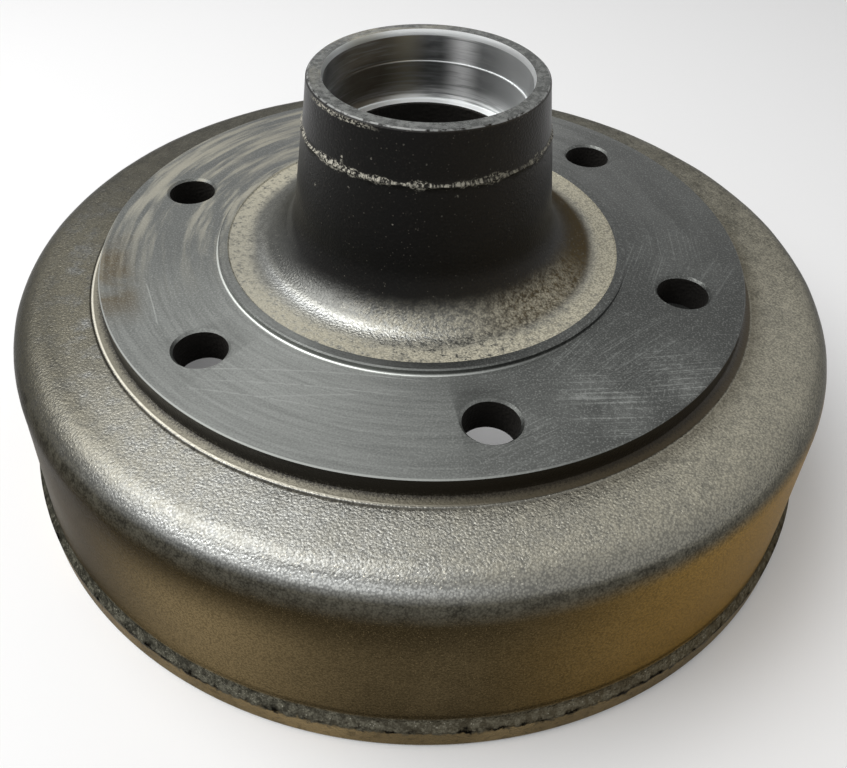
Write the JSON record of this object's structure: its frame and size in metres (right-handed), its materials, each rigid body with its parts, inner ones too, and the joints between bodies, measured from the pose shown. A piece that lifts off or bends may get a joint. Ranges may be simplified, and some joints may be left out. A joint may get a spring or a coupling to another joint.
{
  "type": "trailer brake drum with integral wheel hub",
  "caption": "Cast-iron brake drum in one piece with its wheel hub: stepped bearing bores in a tapered nose, drilled wheel flange with centring spigot, open-rimmed shell.",
  "frame": {"origin": "centre of the open rim that the drum stands on", "axes": "+Z along the hub axis, from the open rim towards the hub nose; +X through one stud hole"},
  "size_m": [0.3318, 0.3318, 0.1565],
  "materials": {
    "cast_iron": "dark varnished casting with bare turned faces and bores"
  },
  "bodies": {
    "root": {"brake_drum": "cast_iron"}
  },
  "joints": []
}
